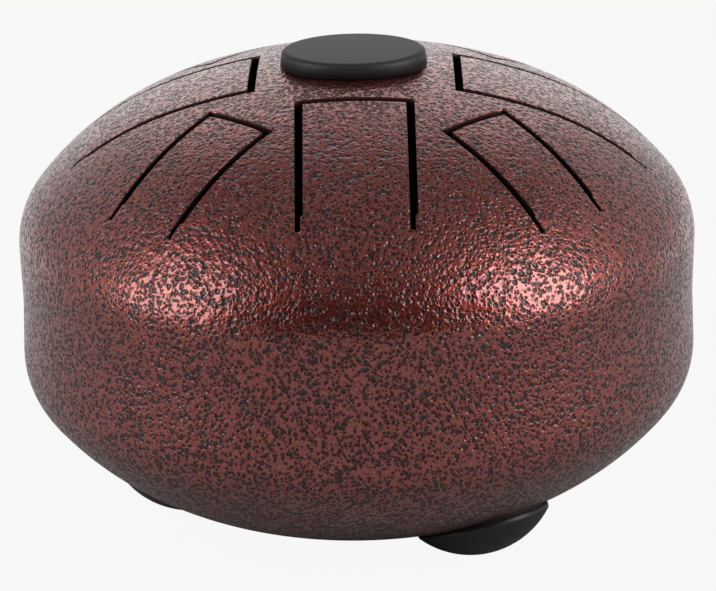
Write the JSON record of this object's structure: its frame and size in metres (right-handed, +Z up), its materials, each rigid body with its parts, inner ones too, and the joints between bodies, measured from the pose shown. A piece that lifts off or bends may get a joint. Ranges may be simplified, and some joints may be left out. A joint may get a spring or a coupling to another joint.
{
  "type": "steel tongue drum",
  "caption": "Round steel tongue drum: two pressed heads welded into a resonator, with sprung tongues cut in the top, an oval rubber cap and domed rubber feet.",
  "frame": {"origin": "on the surface the drum stands on, under the centre of the shell", "axes": "+Z up, through the crown and the sound port; -Y towards the front tongue, +X to the right of someone facing it"},
  "size_m": [0.2032, 0.2032, 0.1438],
  "materials": {
    "hammer_coat": "glossy hammer-finish powder coat, dark copper red veins round grey pits",
    "cap_rubber": "matte moulded rubber",
    "foot_rubber": "satin moulded rubber",
    "adhesive": "black adhesive pad"
  },
  "bodies": {
    "shell": {"upper_shell": "hammer_coat", "lower_shell": "hammer_coat", "seam_weld": "hammer_coat", "top_cap": "cap_rubber", "cap_adhesive": "adhesive", "foot_front_right": "foot_rubber", "foot_left": "foot_rubber", "foot_back": "foot_rubber", "foot_adhesive_front_right": "adhesive", "foot_adhesive_left": "adhesive", "foot_adhesive_back": "adhesive"},
    "tongue_front": {"tongue_front": "hammer_coat"},
    "tongue_front_right": {"tongue_front_right": "hammer_coat"},
    "tongue_right": {"tongue_right": "hammer_coat"},
    "tongue_back_right": {"tongue_back_right": "hammer_coat"},
    "tongue_back": {"tongue_back": "hammer_coat"},
    "tongue_back_left": {"tongue_back_left": "hammer_coat"},
    "tongue_left": {"tongue_left": "hammer_coat"},
    "tongue_front_left": {"tongue_front_left": "hammer_coat"}
  },
  "joints": [
    {"name": "tongue_front_bend", "type": "hinge", "parent": "shell", "child": "tongue_front", "pos_m": [0, -0.08122, 0.11474], "axis": [1, 0, 0], "range_deg": [-0.75, 0.75], "stiffness_Nm_per_rad": 336},
    {"name": "tongue_front_right_bend", "type": "hinge", "parent": "shell", "child": "tongue_front_right", "pos_m": [0.06212, -0.06212, 0.10896], "axis": [0.7071, 0.7071, 0], "range_deg": [-0.75, 0.75], "stiffness_Nm_per_rad": 295},
    {"name": "tongue_right_bend", "type": "hinge", "parent": "shell", "child": "tongue_right", "pos_m": [0.08597, 0, 0.11071], "axis": [0, 1, 0], "range_deg": [-0.75, 0.75], "stiffness_Nm_per_rad": 336},
    {"name": "tongue_back_right_bend", "type": "hinge", "parent": "shell", "child": "tongue_back_right", "pos_m": [0.06212, 0.06212, 0.10896], "axis": [-0.7071, 0.7071, 0], "range_deg": [-0.75, 0.75], "stiffness_Nm_per_rad": 295},
    {"name": "tongue_back_bend", "type": "hinge", "parent": "shell", "child": "tongue_back", "pos_m": [0, 0.08122, 0.11474], "axis": [-1, 0, 0], "range_deg": [-0.75, 0.75], "stiffness_Nm_per_rad": 336},
    {"name": "tongue_back_left_bend", "type": "hinge", "parent": "shell", "child": "tongue_back_left", "pos_m": [-0.06212, 0.06212, 0.10896], "axis": [-0.7071, -0.7071, 0], "range_deg": [-0.75, 0.75], "stiffness_Nm_per_rad": 295},
    {"name": "tongue_left_bend", "type": "hinge", "parent": "shell", "child": "tongue_left", "pos_m": [-0.08328, 0.00262, 0.11302], "axis": [-0.0314, -0.9995, 0], "range_deg": [-0.75, 0.75], "stiffness_Nm_per_rad": 338},
    {"name": "tongue_front_left_bend", "type": "hinge", "parent": "shell", "child": "tongue_front_left", "pos_m": [-0.06212, -0.06212, 0.10896], "axis": [0.7071, -0.7071, 0], "range_deg": [-0.75, 0.75], "stiffness_Nm_per_rad": 295}
  ]
}
